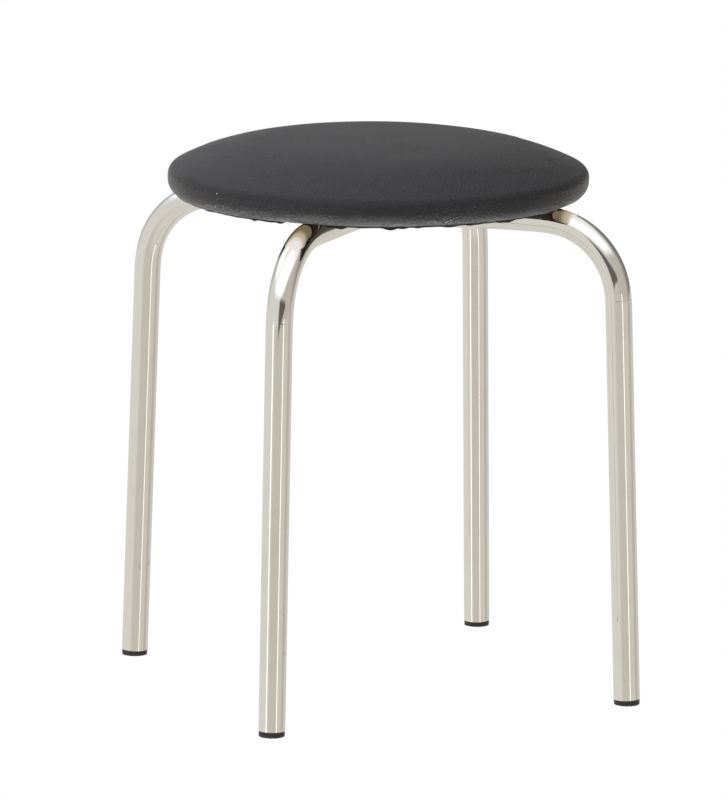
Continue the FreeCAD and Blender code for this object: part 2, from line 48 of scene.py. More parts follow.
def addNode(tree, kind, sockets=None, **settings):
    node = tree.nodes.new(kind)
    for key, value in settings.items():
        setattr(node, key, value)
    for key, value in (sockets or {}).items():
        if isinstance(value, bpy.types.NodeSocket):
            tree.links.new(value, node.inputs[key])
        else:
            node.inputs[key].default_value = value
    node.location = (190 * (len(tree.nodes) % 12), -260 * (len(tree.nodes) // 12))
    return node


def calc(tree, operation, *values, clamp=False):
    node = addNode(tree, "ShaderNodeMath", dict(enumerate(values)), operation=operation, use_clamp=clamp)
    return node.outputs[0]


def times(tree, first, second):
    return calc(tree, "MULTIPLY", first, second)


def minus(tree, first, second):
    return calc(tree, "SUBTRACT", first, second)


def vectorCalc(tree, operation, *values):
    node = addNode(tree, "ShaderNodeVectorMath", dict(enumerate(values)), operation=operation)
    return node.outputs["Value" if operation in ("DOT_PRODUCT", "LENGTH") else "Vector"]


def smoothRange(tree, value, low, high, toLow=0.0, toHigh=1.0):
    node = addNode(tree, "ShaderNodeMapRange", {"Value": value, "From Min": low, "From Max": high,
                   "To Min": toLow, "To Max": toHigh}, interpolation_type="SMOOTHSTEP")
    return node.outputs["Result"]


def mixColour(tree, factor, first, second):
    return addNode(tree, "ShaderNodeMix", {0: factor, 6: first, 7: second}, data_type="RGBA").outputs[2]


def addNoise(tree, vector, scale, detail=2.0, roughness=0.5, distortion=0.0):
    return addNode(tree, "ShaderNodeTexNoise", {"Vector": vector, "Scale": scale, "Detail": detail,
                   "Roughness": roughness, "Distortion": distortion}).outputs


def mixValue(tree, factor, first, second):
    return addNode(tree, "ShaderNodeMix", {0: factor, 2: first, 3: second}).outputs[0]


def combine(tree, **parts):
    sockets = {axis.upper(): value for axis, value in parts.items()}
    return addNode(tree, "ShaderNodeCombineXYZ", sockets).outputs[0]


def heightOf(tree, spot):
    return addNode(tree, "ShaderNodeSeparateXYZ", {0: spot}).outputs["Z"]


def newGroup(name, kind, inputs, outputs):
    # a socket is given with the value it starts from, or with the name of its kind
    tree = bpy.data.node_groups.new(name, kind)
    for direction, sockets in (("INPUT", inputs), ("OUTPUT", outputs)):
        for label, start in sockets.items():
            socketKind = {float: "Float", int: "Int"}.get(type(start), start)
            item = tree.interface.new_socket(label, in_out=direction, socket_type="NodeSocket" + socketKind)
            if socketKind != start:
                item.default_value = start
    return tree, addNode(tree, "NodeGroupInput").outputs, addNode(tree, "NodeGroupOutput").inputs


def newShaper(name, values):
    return newGroup(name, "GeometryNodeTree", {"Geometry": "Geometry", **values, "Material": "Material"},
                    {"Geometry": "Geometry"})


def geoNode(tree, kind, sockets=None, **settings):
    return addNode(tree, kind, sockets, **settings).outputs[0]


def endTree(tree, geometry, material, out):
    real = geoNode(tree, "GeometryNodeRealizeInstances", {"Geometry": geometry})
    finished = geoNode(tree, "GeometryNodeSetMaterial", {"Geometry": real, "Material": material})
    tree.links.new(finished, out["Geometry"])
    return tree


def driveObject(thing, tree, values, material):
    modifier = thing.modifiers.new(tree.name, "NODES")
    modifier.node_group = tree
    identifiers = {item.name: item.identifier for item in tree.interface.items_tree
                   if item.item_type == "SOCKET" and item.in_out == "INPUT"}
    for label, value in {**values, "Material": material}.items():
        modifier[identifiers[label]] = value


def newObject(name, mesh):
    thing = bpy.data.objects.new(name, mesh)
    scene.collection.objects.link(thing)
    return thing


def meshObject(name, points, faces, smooth=True):
    mesh = bpy.data.meshes.new(name)
    mesh.from_pydata([tuple(p) for p in points], [], faces)
    mesh.polygons.foreach_set("use_smooth", [smooth] * len(mesh.polygons))
    mesh.update()
    return newObject(name, mesh)


def takeMesh(thing, name):
    bpy.context.view_layer.update()
    depsgraph = bpy.context.evaluated_depsgraph_get()
    mesh = bpy.data.meshes.new_from_object(thing.evaluated_get(depsgraph), preserve_all_data_layers=True,
                                           depsgraph=depsgraph)
    mesh.name = name
    return mesh


def finishMesh(thing, name, sharpAngle):
    # the modifiers' result becomes the object's own mesh, smooth but for its sharp edges
    mesh = takeMesh(thing, name)
    thing.modifiers.clear()
    thing.data = mesh
    mesh.polygons.foreach_set("use_smooth", [True] * len(mesh.polygons))
    mesh.set_sharp_from_angle(angle=radians(sharpAngle))
    print(name, "has", len(mesh.polygons), "faces")


def giveMaterial(thing, material):
    if not thing.data.materials:
        thing.data.materials.append(None)
    for place in range(len(thing.material_slots)):
        thing.material_slots[place].material = material


# Shared surface effects

def makeGrainGroup():
    tree, given, out = newGroup(
        "pebbleGrain", "ShaderNodeTree",
        {"Vector": "Vector", "Cells Per Metre": 900.0, "Crease": 0.12, "Fine Share": 0.3, "Wander": 0.0012},
        {"Height": "Float", "Mottle": "Float"})
    warp = addNoise(tree, given["Vector"], 260.0)["Color"]
    place = vectorCalc(tree, "ADD", given["Vector"], vectorCalc(tree, "MULTIPLY", warp, given["Wander"]))
    cells = addNode(tree, "ShaderNodeTexVoronoi", {"Vector": place, "Scale": given["Cells Per Metre"]},
                    feature="DISTANCE_TO_EDGE")
    pebble = smoothRange(tree, cells.outputs["Distance"], 0.0, given["Crease"])
    fine = addNoise(tree, given["Vector"], 4200.0, 3.0)["Fac"]
    tree.links.new(calc(tree, "ADD", pebble, times(tree, fine, given["Fine Share"])), out["Height"])
    tree.links.new(addNoise(tree, given["Vector"], 34.0, 4.0)["Fac"], out["Mottle"])
    return tree


def makeWearGroup():
    tree, given, out = newGroup(
        "handlingWear", "ShaderNodeTree",
        {"Vector": "Vector", "Scale": 60.0, "Threshold": 0.55, "Softness": 0.12},
        {"Mask": "Float", "Smudge": "Float"})
    patches = addNoise(tree, given["Vector"], given["Scale"], 6.0, 0.62)["Fac"]
    upper = calc(tree, "ADD", given["Threshold"], given["Softness"])
    tree.links.new(smoothRange(tree, patches, given["Threshold"], upper), out["Mask"])
    tree.links.new(addNoise(tree, given["Vector"], 22.0, 3.0)["Fac"], out["Smudge"])
    return tree


grainGroup, wearGroup = makeGrainGroup(), makeWearGroup()


def useGroup(tree, group, spot, values):
    return addNode(tree, "ShaderNodeGroup", {"Vector": spot, **values}, node_tree=group).outputs


def blankMaterial(name):
    material = bpy.data.materials.new(name)
    material.use_nodes = True
    material.node_tree.nodes.clear()
    return material, material.node_tree


def newSurface(name, shaderValues):
    material, tree = blankMaterial(name)
    shader = addNode(tree, "ShaderNodeBsdfPrincipled", shaderValues)
    addNode(tree, "ShaderNodeOutputMaterial", {"Surface": shader.outputs[0]})
    spot = addNode(tree, "ShaderNodeTexCoord").outputs["Object"]
    return material, tree, shader, spot


def setSurface(tree, shader, colour, roughness):
    tree.links.new(colour, shader.inputs["Base Color"])
    tree.links.new(roughness, shader.inputs["Roughness"])


def addBump(tree, shader, height, distance, before=None):
    sockets = {"Height": height, "Distance": distance, "Strength": 1.0}
    if before is not None:
        sockets["Normal"] = before
    normal = addNode(tree, "ShaderNodeBump", sockets).outputs["Normal"]
    tree.links.new(normal, shader.inputs["Normal"])
    return normal


vinylLook = {
    "darkColour": (0.0025, 0.0025, 0.004, 1), "paleColour": (0.008, 0.008, 0.0115, 1),
    "lowRoughness": 0.29, "highRoughness": 0.33, "gloss": 0.45, "tint": (0.965, 0.97, 1.0, 1),
    "grain": {"Cells Per Metre": 600.0, "Crease": 0.14, "Fine Share": 0.25}, "grainDepth": 0.0002,
    "wear": {"Scale": 45.0, "Threshold": 0.5, "Softness": 0.2},
    "slubScale": 420.0, "slubShare": 8.0,
    "weaveTurn": 22.5, "twillPitch": 0.0031, "twillSlant": -0.4, "twillDrift": 5.0, "twillDepth": 0.00011,
    "hemGloss": 0.02, "rubbed": 0.5,
    "dustColour": (0.024, 0.0155, 0.010, 1), "dustFrom": 0.156, "dustWidth": 0.008, "dustBeyond": 0.2,
}


def makeVinyl(name, gloss, rubbed):
    look = vinylLook
    material, tree, shader, spot = newSurface(name, {"Specular IOR Level": gloss, "IOR": 1.5,
                                                     "Specular Tint": look["tint"]})
    grain = useGroup(tree, grainGroup, spot, look["grain"])
    wear = useGroup(tree, wearGroup, spot, look["wear"])
    slub = addNoise(tree, spot, look["slubScale"], 2.0, 0.6)["Fac"]
    colour = mixColour(tree, smoothRange(tree, slub, 0.35, 0.65), look["darkColour"], look["paleColour"])
    if rubbed:  # brown dust on the inner part of the hem
        reach = vectorCalc(tree, "LENGTH", vectorCalc(tree, "MULTIPLY", spot, (1.0, 1.0, 0.0)))
        dusty = smoothRange(tree, reach, look["dustFrom"] - look["dustWidth"], look["dustFrom"],
                            1.0, look["dustBeyond"])
        colour = mixColour(tree, dusty, colour, look["dustColour"])
    setSurface(tree, shader, colour, smoothRange(tree, wear["Smudge"], 0.3, 0.7, look["lowRoughness"] + rubbed,
                                                 look["highRoughness"] + rubbed))
    pebbled = addBump(tree, shader, grain["Height"], look["grainDepth"])
    # fine twill pressed into the sheet, broken up by the slubs
    turned = addNode(tree, "ShaderNodeMapping", {"Vector": spot,
                     "Rotation": (0.0, 0.0, radians(look["weaveTurn"]))})
    pitch = 2 * pi / look["twillPitch"]
    phase = vectorCalc(tree, "DOT_PRODUCT", turned.outputs[0], (pitch, look["twillSlant"] * pitch, -pitch))
    ridge = calc(tree, "SINE", calc(tree, "ADD", phase, times(tree, slub, look["twillDrift"])))
    woven = calc(tree, "ADD", times(tree, ridge, 0.5), times(tree, slub, look["slubShare"]))
    addBump(tree, shader, woven, look["twillDepth"], before=pebbled)
    return material


chromeLook = {
    "colour": (0.80, 0.78, 0.74, 1), "smudgeColour": (0.76, 0.74, 0.70, 1),
    "roughness": 0.035, "smudgeRoughness": 0.07, "wear": {"Scale": 28.0, "Threshold": 0.5, "Softness": 0.25},
    "drawnLineScale": 2600.0, "drawnLineSlip": 0.02, "drawnLineDepth": 0.0000008,
    "markDepth": 0.00006, "markWidth": 0.0007, "markPatches": 90.0,
}


def makeChrome(markPlaces):
    look = chromeLook
    material, tree, shader, spot = newSurface("chromePlate", {"Metallic": 1.0})
    wear = useGroup(tree, wearGroup, spot, look["wear"])
    setSurface(tree, shader, mixColour(tree, wear["Mask"], look["colour"], look["smudgeColour"]),
               smoothRange(tree, wear["Smudge"], 0.35, 0.7, look["roughness"], look["smudgeRoughness"]))
    # fine lines left by drawing the tube, along its length
    around = addNode(tree, "ShaderNodeAttribute", attribute_name="sectionSpot").outputs["Vector"]
    along = addNode(tree, "ShaderNodeAttribute", attribute_name="alongTube").outputs["Fac"]
    drift = combine(tree, z=times(tree, along, look["drawnLineSlip"]))
    lines = addNoise(tree, vectorCalc(tree, "ADD", around, drift), look["drawnLineScale"], 4.0)["Fac"]
    drawn = addBump(tree, shader, lines, look["drawnLineDepth"])
    # faint line where the bending die gripped the tube
    marks = None
    for place in markPlaces:
        away = calc(tree, "ABSOLUTE", minus(tree, along, place))
        line = smoothRange(tree, away, 0.0, look["markWidth"], 1.0, 0.0)
        marks = line if marks is None else calc(tree, "MAXIMUM", marks, line)
    broken = smoothRange(tree, addNoise(tree, around, look["markPatches"])["Fac"], 0.4, 0.6)
    addBump(tree, shader, times(tree, marks, broken), look["markDepth"], before=drawn)
    return material


plasticLook = {
    "colour": (0.016, 0.013, 0.012, 1), "scuffColour": (0.085, 0.078, 0.072, 1),
    "roughness": 0.48, "scuffRoughness": 0.75, "gloss": 0.45,
    "grain": {"Cells Per Metre": 2400.0, "Crease": 0.4, "Fine Share": 0.5}, "grainDepth": 0.00002,
    "wear": {"Scale": 320.0, "Threshold": 0.48, "Softness": 0.1},
    "scuffedBelow": 0.0004, "cleanAbove": 0.0016, "scuffsAbove": 0.12,
}


def makePlastic():
    look = plasticLook
    material, tree, shader, spot = newSurface("plugPlastic", {"Specular IOR Level": look["gloss"]})
    grain = useGroup(tree, grainGroup, spot, look["grain"])
    wear = useGroup(tree, wearGroup, spot, look["wear"])
    nearSole = smoothRange(tree, heightOf(tree, spot), look["scuffedBelow"], look["cleanAbove"], 1.0,
                           look["scuffsAbove"])
    scuff = times(tree, wear["Mask"], nearSole)
    setSurface(tree, shader, mixColour(tree, scuff, look["colour"], look["scuffColour"]),
               smoothRange(tree, scuff, 0.0, 1.0, look["roughness"], look["scuffRoughness"]))
    addBump(tree, shader, grain["Height"], look["grainDepth"])
    return material


zincLook = {
    "colour": (0.62, 0.63, 0.64, 1), "dullColour": (0.48, 0.49, 0.5, 1),
    "roughness": 0.28, "dullRoughness": 0.42,
    "wear": {"Scale": 420.0, "Threshold": 0.5, "Softness": 0.15},
    "grain": {"Cells Per Metre": 3000.0, "Crease": 0.3, "Fine Share": 0.6}, "grainDepth": 0.000006,
}


def makeZinc():
    look = zincLook
    material, tree, shader, spot = newSurface("zincPlate", {"Metallic": 1.0})
    wear = useGroup(tree, wearGroup, spot, look["wear"])
    grain = useGroup(tree, grainGroup, spot, look["grain"])
    setSurface(tree, shader, mixColour(tree, wear["Mask"], look["colour"], look["dullColour"]),
               smoothRange(tree, wear["Mask"], 0.0, 1.0, look["roughness"], look["dullRoughness"]))
    addBump(tree, shader, grain["Height"], look["grainDepth"])
    return material


plywoodLook = {
    "colour": (0.070, 0.050, 0.037, 1), "figureColour": (0.050, 0.035, 0.026, 1),
    "poreColour": (0.045, 0.031, 0.022, 1), "edgeColour": (0.055, 0.036, 0.024, 1),
    "stretch": (3.0, 42.0, 3.0), "grainTurn": 0.4, "veneer": 0.0024, "poreDepth": 0.00008, "gloss": 0.3,
}


def makePlywood():
    look = plywoodLook
    material, tree, shader, spot = newSurface("stainedPly", {"Specular IOR Level": look["gloss"]})
    stretched = addNode(tree, "ShaderNodeMapping", {"Vector": spot, "Scale": look["stretch"],
                        "Rotation": (0.0, 0.0, look["grainTurn"])}).outputs[0]
    figure = addNoise(tree, stretched, 1.6, 5.0, distortion=1.1)["Fac"]
    pores = addNoise(tree, stretched, 22.0, 3.0)["Fac"]
    colour = mixColour(tree, smoothRange(tree, figure, 0.35, 0.68), look["colour"], look["figureColour"])
    colour = mixColour(tree, smoothRange(tree, pores, 0.6, 0.75, 0.0, 0.5), colour, look["poreColour"])
    # veneers show as lighter and darker bands at the board's edge
    ply = calc(tree, "SINE", times(tree, heightOf(tree, spot), 2 * pi / look["veneer"]))
    colour = mixColour(tree, smoothRange(tree, ply, -0.2, 0.2, 0.0, 0.25), colour, look["edgeColour"])
    setSurface(tree, shader, colour, smoothRange(tree, pores, 0.3, 0.8, 0.6, 0.8))
    addBump(tree, shader, pores, look["poreDepth"])
    return material


foamLook = {
    "cellColour": (0.62, 0.55, 0.36, 1), "colour": (0.85, 0.79, 0.58, 1),
    "roughness": (0.85, 0.95), "gloss": 0.2,
    "grain": {"Cells Per Metre": 1100.0, "Crease": 0.3, "Fine Share": 0.4}, "grainDepth": 0.0004,
}


def makeFoam():
    look = foamLook
    material, tree, shader, spot = newSurface("openCellFoam", {"Specular IOR Level": look["gloss"]})
    grain = useGroup(tree, grainGroup, spot, look["grain"])
    setSurface(tree, shader, mixColour(tree, smoothRange(tree, grain["Height"], 0.0, 0.9), look["cellColour"],
                                       look["colour"]),
               smoothRange(tree, grain["Mottle"], 0.3, 0.7, *look["roughness"]))
    addBump(tree, shader, grain["Height"], look["grainDepth"])
    return material


# Frame tubes: a path swept round and pressed flat in the middle

tubeForm = {
    "tubeRadius": 0.011, "wall": 0.0015, "topLevel": 0.413, "plugHeight": 0.0045,
    "footReach": 0.224, "legLean": 2.0, "bendRadius": 0.065, "bendEase": 0.026, "bendApproach": 0.024,
    "pressedHeight": 0.011, "creaseRounding": 0.14, "creaseAngle": 40.0,
    "holeRadius": 0.0032, "screwReach": 0.033, "sectionPoints": 64, "bendSteps": 56,
}
tubePair = {  # what differs between the two; the press starts and is complete at these reaches from the middle
    "upper_frame_tube": {"name": "upperFrameTube", "turn": 45, "pressedLevel": 0.4075, "press": (0.056, 0.043)},
    "lower_frame_tube": {"name": "lowerFrameTube", "turn": 135, "pressedLevel": 0.3965, "press": (0.112, 0.088)},
}
tubeAxis = tubeForm["topLevel"] - tubeForm["tubeRadius"]


def halfTubePath(start, end):
    # from the foot up to the middle; the points stand closer where the curve or the press begins
    lean = radians(tubeForm["legLean"])
    radius = tubeForm["bendRadius"]
    middleZ = tubeAxis - radius
    middleX = tubeForm["footReach"] - middleZ * tan(lean) - radius / cos(lean)
    up = Vector((-sin(lean), cos(lean)))
    foot = Vector((tubeForm["footReach"], 0)) + up * tubeForm["plugHeight"]
    bendStart = Vector((middleX, middleZ)) + Vector((cos(lean), sin(lean))) * radius
    leg = bendStart - foot
    approach = tubeForm["bendApproach"] / leg.length
    points = [foot + leg * ((1 - approach) * step / 22) for step in range(22)]
    points += [foot + leg * (1 - approach * (1 - step / 12)) for step in range(12)]
    for step in range(tubeForm["bendSteps"] + 1):
        angle = lean + (pi / 2 - lean) * step / tubeForm["bendSteps"]
        points.append(Vector((middleX + radius * cos(angle), middleZ + radius * sin(angle))))
    runStart = points[-1].x
    points += [Vector((runStart + (start - runStart) * step / 18, tubeAxis)) for step in range(1, 18)]
    points += [Vector((start + (end - start) * step / 24, tubeAxis)) for step in range(-2, 27)]
    points += [Vector(((end - 0.002) * (1 - step / 8), tubeAxis)) for step in range(1, 8)]
    return easeBend(points), leg.length


def easeBend(points):
    # a drawn bend's curve comes on gradually, so each point becomes the mean of a short stretch around it
    lengths = [0.0]
    for first, second in zip(points, points[1:]):
        lengths.append(lengths[-1] + (second - first).length)
    half = tubeForm["bendEase"] / 2
    across, above = [p.x for p in points], [p.y for p in points]
    eased = []
    for length in lengths:
        reach = min(half, length, lengths[-1] - length)
        spots = np.linspace(length - reach, length + reach, 41)
        eased.append(Vector((float(np.interp(spots, lengths, across).mean()),
                             float(np.interp(spots, lengths, above).mean()))))
    return eased


def tubeInputs(form):
    start, end = form["press"]
    return {"Tube Radius": tubeForm["tubeRadius"], "Section Points": tubeForm["sectionPoints"],
            "Press Start": start, "Press End": end, "Axis Level": tubeAxis,
            "Pressed Level": form["pressedLevel"], "Pressed Height": tubeForm["pressedHeight"],
            "Rounding": tubeForm["creaseRounding"], "Turn": radians(form["turn"])}


def makeTubeTree(values):
    tree, given, out = newShaper("pressedTube", values)
    length = addNode(tree, "GeometryNodeSplineParameter").outputs["Length"]
    path = geoNode(tree, "GeometryNodeStoreNamedAttribute", {"Geometry": given["Geometry"], "Name": "alongTube",
                   "Value": length}, data_type="FLOAT", domain="POINT")
    ring = geoNode(tree, "GeometryNodeCurvePrimitiveCircle", {"Resolution": given["Section Points"],
                   "Radius": given["Tube Radius"]})
    place = geoNode(tree, "GeometryNodeInputPosition")
    section = geoNode(tree, "GeometryNodeStoreNamedAttribute", {"Geometry": ring, "Name": "sectionSpot",
                      "Value": place}, data_type="FLOAT_VECTOR", domain="POINT")
    sweep = geoNode(tree, "GeometryNodeCurveToMesh", {"Curve": path, "Profile Curve": section})
    smooth = geoNode(tree, "GeometryNodeSetShadeSmooth", {"Geometry": sweep})

    # how far each point is pressed: 0 on the round arms, 1 on the flat middle, with rounded ends
    parts = addNode(tree, "ShaderNodeSeparateXYZ", {0: place}).outputs
    reach = calc(tree, "ABSOLUTE", parts["X"])
    share = calc(tree, "DIVIDE", minus(tree, given["Press Start"], reach),
                 minus(tree, given["Press Start"], given["Press End"]))
    fromStart = calc(tree, "SMOOTH_MAX", share, 0.0, given["Rounding"])
    pressed = calc(tree, "SMOOTH_MIN", fromStart, 1.0, given["Rounding"], clamp=True)

    # round section to slot section, by the angle from the horizontal
    lift = minus(tree, parts["Z"], given["Axis Level"])
    angle = calc(tree, "ARCTAN2", calc(tree, "ABSOLUTE", lift), calc(tree, "ABSOLUTE", parts["Y"]))
    half = times(tree, given["Pressed Height"], 0.5)
    flat = times(tree, minus(tree, given["Tube Radius"], half), pi / 2)
    doubled = times(tree, angle, 2.0)
    sideAcross = calc(tree, "ADD", flat, times(tree, half, calc(tree, "COSINE", doubled)))
    sideLift = times(tree, half, calc(tree, "SINE", doubled))
    left = calc(tree, "DIVIDE", minus(tree, pi / 2, angle), pi / 4)
    isFlat = calc(tree, "GREATER_THAN", angle, pi / 4)
    across = mixValue(tree, isFlat, sideAcross, times(tree, flat, left))
    height = mixValue(tree, isFlat, sideLift, half)
    slotY = times(tree, calc(tree, "SIGN", parts["Y"]), across)
    slotZ = calc(tree, "ADD", given["Pressed Level"], times(tree, calc(tree, "SIGN", lift), height))
    target = combine(tree, x=parts["X"], y=mixValue(tree, pressed, parts["Y"], slotY),
                     z=mixValue(tree, pressed, parts["Z"], slotZ))
    shaped = geoNode(tree, "GeometryNodeSetPosition", {"Geometry": smooth, "Position": target})
    turned = geoNode(tree, "GeometryNodeTransform", {"Geometry": shaped,
                     "Rotation": combine(tree, z=given["Turn"])})
    return endTree(tree, turned, given["Material"], out)


def makeHoleCutter(turn):
    # three upright rods where the screws pass
    points, faces, count = [], [], 24
    for reach in (-tubeForm["screwReach"], 0.0, tubeForm["screwReach"]):
        base = len(points)
        for level in (0.36, 0.43):  # below and above both tubes
            for step in range(count):
                angle = 2 * pi * step / count
                points.append(Vector((reach + tubeForm["holeRadius"] * cos(angle),
                                      tubeForm["holeRadius"] * sin(angle), level)))
        for step in range(count):
            follow = (step + 1) % count
            faces.append((base + step, base + follow, base + count + follow, base + count + step))
        faces.append(tuple(base + step for step in reversed(range(count))))
        faces.append(tuple(base + count + step for step in range(count)))
    cutter = meshObject("screwHoleCutter", points, faces)
    cutter.data.transform(Matrix.Rotation(turn, 4, "Z"))
    return cutter


def makeFrameTube(form, tree, material):
    name, turn = form["name"], radians(form["turn"])
    points = halfTubePath(*form["press"])[0]
    whole = points + [Vector((0, tubeAxis))] + [Vector((-p.x, p.y)) for p in reversed(points)]
    curve = bpy.data.curves.new(name + "Path", "CURVE")
    curve.dimensions = "3D"
    spline = curve.splines.new("POLY")
    spline.points.add(len(whole) - 1)
    for point, spot in zip(spline.points, whole):
        point.co = (spot.x, 0.0, spot.y, 1.0)
    path = newObject(name + "Path", curve)
    driveObject(path, tree, tubeInputs(form), material)
    tube = newObject(name, takeMesh(path, name))
    bpy.data.objects.remove(path)
    wall = tube.modifiers.new("wall", "SOLIDIFY")
    wall.thickness, wall.offset = tubeForm["wall"], -1
    cutter = makeHoleCutter(turn)
    holes = tube.modifiers.new("holes", "BOOLEAN")
    holes.object, holes.operation, holes.solver = cutter, "DIFFERENCE", "EXACT"
    finishMesh(tube, name, tubeForm["creaseAngle"])
    bpy.data.objects.remove(cutter)
    return tube


halfPath, legLength = halfTubePath(*tubePair["lower_frame_tube"]["press"])
tubeLength = 2 * sum((b - a).length for a, b in zip(halfPath, halfPath[1:] + [Vector((0, tubeAxis))]))
chrome = makeChrome((legLength, tubeLength - legLength))
tubeTree, tubes = makeTubeTree(tubeInputs(tubePair["lower_frame_tube"])), {}
for nodeName, form in tubePair.items():
    tube = makeFrameTube(form, tubeTree, chrome)
    giveMaterial(tube, chrome)
    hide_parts(nodeName)
    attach(tube, "root")
    tubes[nodeName] = tube
print("frame tubes made")


# Seat: half profile of tangent arcs, turned round and then shaped

seatForm = {
    "seatRadius": 0.175, "topLevel": 0.460, "undersideLevel": 0.4133, "widestLevel": 0.4287,
    "edgeRadius": 0.0091, "underRadius": 0.0127, "shoulderRadius": 0.204, "crownRadius": 1.6,
    "hemReach": 0.135, "segments": 640, "coverWall": 0.0009, "sharpAngle": 60.0,
    "foldsBelow": 0.4262, "foldLevel": 0.4255, "foldFade": 0.010,
    "sagDepth": 0.0015, "sagReach": 0.160, "sagWidth": 0.012,
    "gatherCount": 62, "gatherDepth": 0.0029, "gatherReach": 0.159, "gatherWidth": 0.012, "gatherInside": 0.22,
    "gatherShift": 0.36, "gatherWidths": (0.0022, 0.0085), "gatherVariety": 1.3, "gatherSlant": 0.5,
    "rippleDepth": 0.0003, "hemWander": 0.0012, "hemEdge": 0.004, "tubeClear": 0.0135, "tubeFade": 0.010,
    "settling": 0.0003, "settleFrom": 0.418, "settleFade": 0.008, "dentScale": 9.0, "seed": 7,
    "slip": (-0.0020, 0.0008), "rimFrom": 0.150, "rimFade": 0.012, "upperFrom": 0.428, "upperFade": 0.008,
    "lean": (0.92, -0.38), "leanRise": -0.0009, "crownRise": 0.0005, "crownFrom": 0.425, "crownFade": 0.018,
    "rubbedBelow": 0.4140, "rubbedWithin": 0.1700,
}


def meridian(inset, rings):
    radius = seatForm["seatRadius"] - inset
    top, bottom = seatForm["topLevel"] - inset, seatForm["undersideLevel"] + inset
    edge, under = seatForm["edgeRadius"] - inset, seatForm["underRadius"] - inset
    shoulder, crown = seatForm["shoulderRadius"] - inset, seatForm["crownRadius"] - inset
    edgeMiddle = Vector((radius - edge, seatForm["widestLevel"]))
    crownMiddle = Vector((0, top - crown))
    apart = edgeMiddle - crownMiddle
    gap = apart.length
    along = ((crown - shoulder) ** 2 - (shoulder - edge) ** 2 + gap ** 2) / (2 * gap)
    aside = sqrt((crown - shoulder) ** 2 - along ** 2)
    ahead = apart / gap
    shoulderMiddle = crownMiddle + ahead * along + Vector((-ahead.y, ahead.x)) * aside
    crownRay = (shoulderMiddle - crownMiddle).normalized()
    edgeRay = (edgeMiddle - shoulderMiddle).normalized()
    underMiddle = Vector((radius - under, bottom + under))

    def sweepArc(middle, size, first, last, count):
        return [middle + Vector((cos(first + (last - first) * step / count),
                                 sin(first + (last - first) * step / count))) * size
                for step in range(count + 1)]

    crownAngle = atan2(crownRay.y, crownRay.x)
    edgeAngle = atan2(edgeRay.y, edgeRay.x)
    points = sweepArc(crownMiddle, crown, pi / 2, crownAngle, rings["crown"])
    points += sweepArc(shoulderMiddle, shoulder, crownAngle, edgeAngle, rings["shoulder"])[1:]
    points += sweepArc(edgeMiddle, edge, edgeAngle, 0.0, rings["edge"])[1:]
    points += sweepArc(underMiddle, under, 0.0, -pi / 2, rings["under"])
    return points


def smoothStep(value):
    value = min(max(value, 0.0), 1.0)
    return value * value * (3 - 2 * value)


def awayFromTubes(reach, angle):
    nearest = min(abs(sin(angle - radians(form["turn"]))) for form in tubePair.values())
    return smoothStep((reach * nearest - seatForm["tubeClear"]) / seatForm["tubeFade"])


def makeGathers():
    seat = seatForm
    draw = random.Random(seat["seed"])
    gathers = []
    for index in range(seat["gatherCount"]):
        place = index + draw.uniform(-seat["gatherShift"], seat["gatherShift"])
        middle = 2 * pi * place / seat["gatherCount"]
        strength = draw.uniform(0.0, 1.0) ** seat["gatherVariety"]
        width = draw.uniform(*seat["gatherWidths"])
        gathers.append((middle, width, strength, draw.uniform(-seat["gatherSlant"], seat["gatherSlant"])))
    return gathers


def gatherHeight(gathers, reach, angle):
    total = 0.0
    spacing = 2 * pi / len(gathers)
    first = int(angle / spacing)
    for index in (first - 1, first, first + 1, first + 2):
        middle, width, strength, slant = gathers[index % len(gathers)]
        turn = (angle - middle + pi) % (2 * pi) - pi
        offset = (reach * turn + slant * (reach - seatForm["sagReach"])) / width
        if abs(offset) < 1:
            total = max(total, strength * (1 - offset * offset) ** 1.5)
    return total


def slipSideways(thing):
    # the padded seat sits a little to one side of the frame, and its crown leans a little;
    # the stapled hem and the board's place stay
    seat = seatForm
    for vertex in thing.data.vertices:
        spot = vertex.co
        share = smoothStep((hypot(spot.x, spot.y) - seat["rimFrom"]) / seat["rimFade"])
        share = max(share, smoothStep((spot.z - seat["upperFrom"]) / seat["upperFade"]))
        spot.x += seat["slip"][0] * share
        spot.y += seat["slip"][1] * share
        across = (spot.x * seat["lean"][0] + spot.y * seat["lean"][1]) / seat["seatRadius"]
        lift = seat["crownRise"] + seat["leanRise"] * across
        spot.z += lift * smoothStep((spot.z - seat["crownFrom"]) / seat["crownFade"])
    thing.data.update()


def lathe(name, profile, segments, closeEnd):
    points = [Vector((0, 0, profile[0].y))]
    for place in profile[1:len(profile) - (1 if closeEnd else 0)]:
        for step in range(segments):
            angle = 2 * pi * step / segments
            points.append(Vector((place.x * cos(angle), place.x * sin(angle), place.y)))
    rings = (len(points) - 1) // segments
    faces = [(0, 1 + step, 1 + (step + 1) % segments) for step in range(segments)]
    for ring in range(rings - 1):
        inner, outer = 1 + ring * segments, 1 + (ring + 1) * segments
        for step in range(segments):
            follow = (step + 1) % segments
            faces.append((inner + step, outer + step, outer + follow, inner + follow))
    if closeEnd:
        last = len(points)
        points.append(Vector((0, 0, profile[-1].y)))
        base = 1 + (rings - 1) * segments
        faces += [(last, base + (step + 1) % segments, base + step) for step in range(segments)]
    return meshObject(name, points, faces)


clothForm = {
    "startInset": 0.003, "segments": 120, "voxel": 0.005, "pressure": 4.0, "quality": 6, "frames": 20,
    "cap": 0.006, "pinBelow": 0.4185,
}


